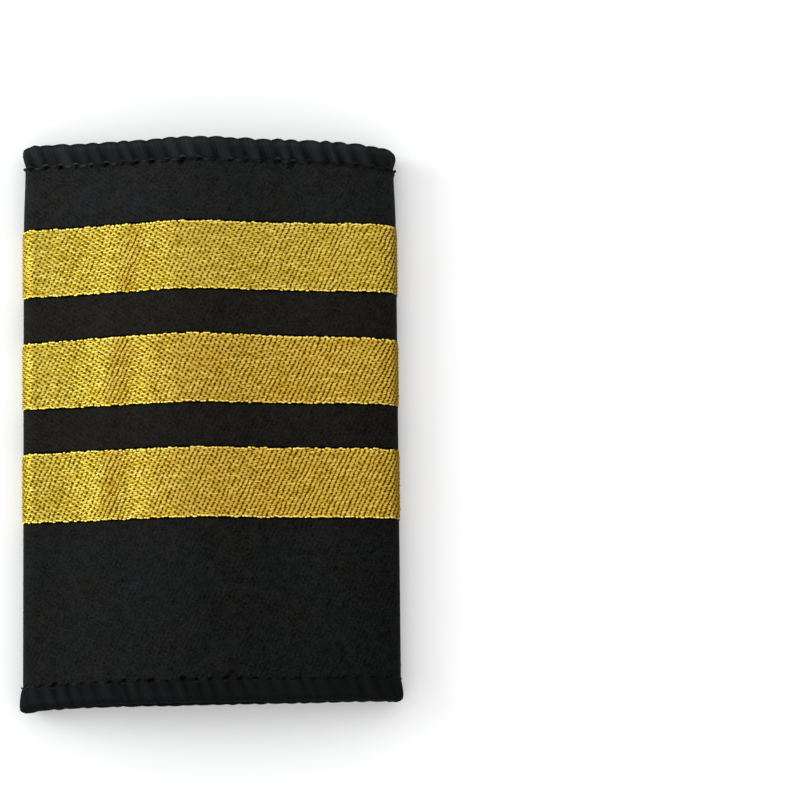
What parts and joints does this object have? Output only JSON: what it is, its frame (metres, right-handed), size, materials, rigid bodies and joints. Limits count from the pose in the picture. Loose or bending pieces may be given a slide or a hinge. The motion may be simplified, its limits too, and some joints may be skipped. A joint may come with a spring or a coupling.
{
  "type": "shoulder board, soft slip-on slide",
  "caption": "Flattened cloth sleeve open at both ends, with metallic bars woven right round it and overlocked thread edges, that slips over a shoulder strap.",
  "frame": {"origin": "centre of the bounding box at its bottom, where the thread edges rest on the surface", "axes": "+Y along the sleeve to the barred end, +Z out of the front panel, +X to the right seen from the front"},
  "size_m": [0.0673, 0.1005, 0.0126],
  "materials": {
    "cloth": "black satin weave with a faint diagonal grain",
    "bar": "metallic gold thread in a five-end satin weave",
    "thread": "black overlock thread, slightly lustrous"
  },
  "bodies": {
    "root": {"sleeve": "cloth", "bar_top": "bar", "bar_middle": "bar", "bar_bottom": "bar", "overlock_top": "thread", "overlock_bottom": "thread"}
  },
  "joints": []
}
